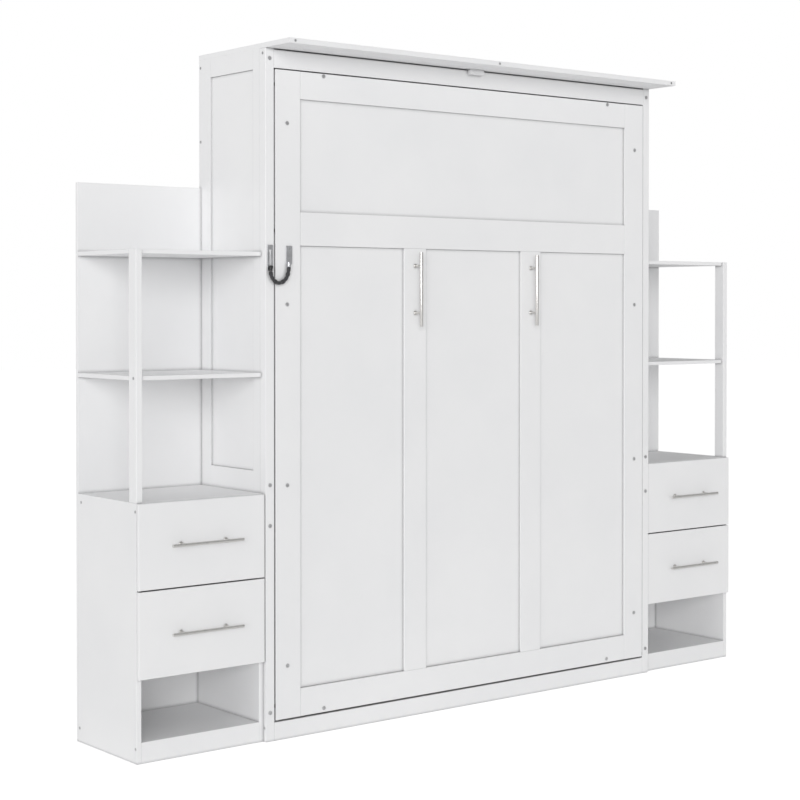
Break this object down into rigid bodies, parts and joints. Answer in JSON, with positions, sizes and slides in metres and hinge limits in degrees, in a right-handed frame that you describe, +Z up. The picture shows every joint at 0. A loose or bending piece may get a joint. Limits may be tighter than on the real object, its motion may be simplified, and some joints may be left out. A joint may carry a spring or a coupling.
{
  "type": "murphy wall bed",
  "caption": "Upright folding wall bed with a framed panel front, deep crown board, bar handles and a safety chain, between open shelf towers with drawers and a floor cubby.",
  "frame": {"origin": "centre of the footprint's bounding box, on the floor", "axes": "+X across the front to the right, +Y back to the wall, +Z up; the door front faces -Y"},
  "size_m": [2.6296, 0.519, 2.189],
  "materials": {
    "white_paint": "white satin paint on wood board",
    "carcass_board": "white melamine-faced board",
    "slat_wood": "bare sanded pine",
    "satin_steel": "satin brushed",
    "zinc_steel": "bright zinc plated",
    "strut_black": "black satin paint",
    "cord_black": "black sleeved chain",
    "rubber_black": "matt black"
  },
  "bodies": {
    "cabinet": {"side_frames": "white_paint", "side_panels": "white_paint", "face_stiles": "white_paint", "face_top_rail": "white_paint", "face_base_rail": "white_paint", "crown_board": "white_paint", "crown_block": "white_paint", "back_board": "carcass_board", "wall_rails": "carcass_board", "pivot_brackets": "zinc_steel", "strut_anchors": "zinc_steel", "face_bolts": "zinc_steel", "cabinet_screws": "zinc_steel", "gap_bumpers": "rubber_black", "chain_track": "zinc_steel", "track_screws": "zinc_steel", "tower_sides": "white_paint", "tower_backs": "white_paint", "tower_boards": "white_paint", "tower_plinths": "white_paint", "tower_posts": "white_paint", "tower_shelves": "white_paint", "tower_screws": "zinc_steel", "slide_rails": "zinc_steel"},
    "bed": {"door_stiles": "white_paint", "door_top_rail": "white_paint", "door_mid_rail": "white_paint", "door_bottom_rail": "white_paint", "door_dividers": "white_paint", "door_upper_panel": "white_paint", "door_lower_panels": "white_paint", "door_bolts": "zinc_steel", "door_handles": "satin_steel", "bed_side_rails": "carcass_board", "bed_end_rails": "carcass_board", "bed_centre_beam": "slat_wood", "bed_slats": "slat_wood", "strut_studs": "zinc_steel", "leg_pins": "zinc_steel", "chain_plate": "zinc_steel", "plate_screws": "zinc_steel", "chain_cord": "cord_black"},
    "support_legs": {"legs": "zinc_steel", "leg_pads": "rubber_black"},
    "strut_tubes": {"strut_cylinders": "strut_black"},
    "strut_stems": {"strut_rods": "zinc_steel"},
    "latch_slider": {"chain_slider": "cord_black"},
    "drawer_left_upper": {"drawer_left_upper_front": "white_paint", "drawer_left_upper_box": "carcass_board", "drawer_left_upper_handle": "satin_steel"},
    "drawer_left_lower": {"drawer_left_lower_front": "white_paint", "drawer_left_lower_box": "carcass_board", "drawer_left_lower_handle": "satin_steel"},
    "drawer_right_upper": {"drawer_right_upper_front": "white_paint", "drawer_right_upper_box": "carcass_board", "drawer_right_upper_handle": "satin_steel"},
    "drawer_right_lower": {"drawer_right_lower_front": "white_paint", "drawer_right_lower_box": "carcass_board", "drawer_right_lower_handle": "satin_steel"}
  },
  "joints": [
    {"name": "bed_fold", "type": "hinge", "parent": "cabinet", "child": "bed", "pos_m": [0, -0.0675, 0.3], "axis": [1, 0, 0], "range_deg": [0, 90], "stiffness_Nm_per_rad": 150, "springref_deg": -22.92},
    {"name": "legs_fold", "type": "hinge", "parent": "bed", "child": "support_legs", "pos_m": [0, -0.0525, 2.05], "axis": [1, 0, 0], "range_deg": [0, 210]},
    {"name": "strut_turn", "type": "hinge", "parent": "cabinet", "child": "strut_tubes", "pos_m": [0, 0.0625, 0.82], "axis": [1, 0, 0], "range_deg": [0, 13.4]},
    {"name": "strut_stroke", "type": "slide", "parent": "strut_tubes", "child": "strut_stems", "axis": [0, -0.1275, -0.9918], "range_m": [-0.2235, 0]},
    {"name": "latch_slide", "type": "slide", "parent": "cabinet", "child": "latch_slider", "axis": [0, 0, 1], "range_m": [0, 0.03]},
    {"name": "drawer_left_upper_slide", "type": "slide", "parent": "cabinet", "child": "drawer_left_upper", "axis": [0, -1, 0], "range_m": [0, 0.26]},
    {"name": "drawer_left_lower_slide", "type": "slide", "parent": "cabinet", "child": "drawer_left_lower", "axis": [0, -1, 0], "range_m": [0, 0.26]},
    {"name": "drawer_right_upper_slide", "type": "slide", "parent": "cabinet", "child": "drawer_right_upper", "axis": [0, -1, 0], "range_m": [0, 0.26]},
    {"name": "drawer_right_lower_slide", "type": "slide", "parent": "cabinet", "child": "drawer_right_lower", "axis": [0, -1, 0], "range_m": [0, 0.26]}
  ],
  "couplings": [
    {"joint": "legs_fold", "follows": "bed_fold", "ratio": 2.3333},
    {"joint": "strut_turn", "follows": "bed_fold", "ratio": 0.14749},
    {"joint": "strut_stroke", "follows": "bed_fold", "m_per_rad": -0.14207}
  ]
}
